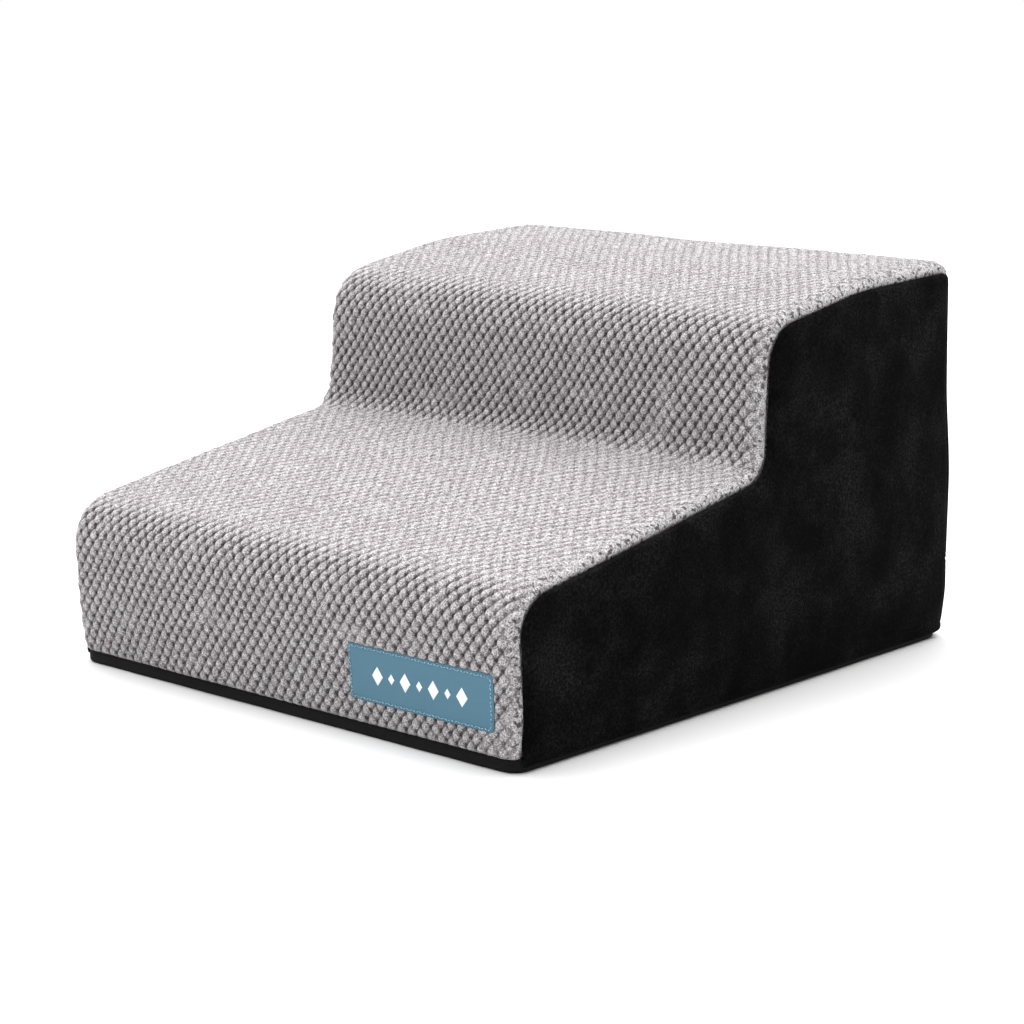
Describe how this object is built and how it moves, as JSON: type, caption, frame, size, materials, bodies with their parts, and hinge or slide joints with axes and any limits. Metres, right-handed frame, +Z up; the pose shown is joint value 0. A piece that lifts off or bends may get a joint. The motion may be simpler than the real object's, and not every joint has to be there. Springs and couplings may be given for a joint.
{
  "type": "foam dog ramp",
  "caption": "Foam dog ramp with two sloping plush treads, dark suede sides, a bound base and a zipped, removable cover, for reaching a low sofa or bed.",
  "frame": {"origin": "middle of the base's box, on the floor", "axes": "+Z up, +Y from the low front step towards the tall back, +X towards the label's end, seen from the front"},
  "size_m": [0.4, 0.4607, 0.2645],
  "materials": {
    "support_foam": "open-cell cut polyurethane foam, matte",
    "memory_foam": "open-cell memory foam, matte",
    "popcorn_plush": "knitted popcorn chenille, soft pile",
    "suede_panel": "brushed microsuede, matte with a faint sheen",
    "base_binding": "folded woven binding over cord, matte",
    "grip_cloth": "woven cloth printed with rubber grip dots",
    "zip_tape": "woven polyester tape",
    "zip_nylon": "drawn nylon monofilament, satin",
    "zip_metal": "die-cast zinc, black lacquer",
    "label_weave": "damask-woven polyester, satin",
    "label_thread": "twisted polyester thread",
    "care_satin": "woven satin ribbon"
  },
  "bodies": {
    "ramp": {"base_foam_block": "support_foam", "upper_step_foam_block": "support_foam", "lower_tread_memory_foam": "memory_foam", "upper_tread_memory_foam": "memory_foam", "cover_tread_panel": "popcorn_plush", "cover_side_panel_left": "suede_panel", "cover_side_panel_right": "suede_panel", "cover_back_panel_upper": "suede_panel", "cover_back_panel_lower": "suede_panel", "base_band": "base_binding", "cover_grip_bottom": "grip_cloth", "zip_tape_upper": "zip_tape", "zip_tape_lower": "zip_tape", "zip_coil_upper": "zip_nylon", "zip_coil_lower": "zip_nylon", "zip_bottom_stop": "zip_metal", "zip_top_stop": "zip_metal", "zip_end_tab_left": "suede_panel", "zip_end_tab_right": "suede_panel", "woven_label": "label_weave", "label_stitching": "label_thread", "care_label": "care_satin"},
    "slider": {"zip_slider": "zip_metal"},
    "pull_tab": {"zip_pull_tab": "zip_metal"}
  },
  "joints": [
    {"name": "zip_travel", "type": "slide", "parent": "ramp", "child": "slider", "axis": [1, 0, 0], "range_m": [-0.302, 0]},
    {"name": "pull_tab_flip", "type": "hinge", "parent": "slider", "child": "pull_tab", "pos_m": [0.151, 0.2297, 0.056], "axis": [0, 0, -1], "range_deg": [0, 180]}
  ]
}
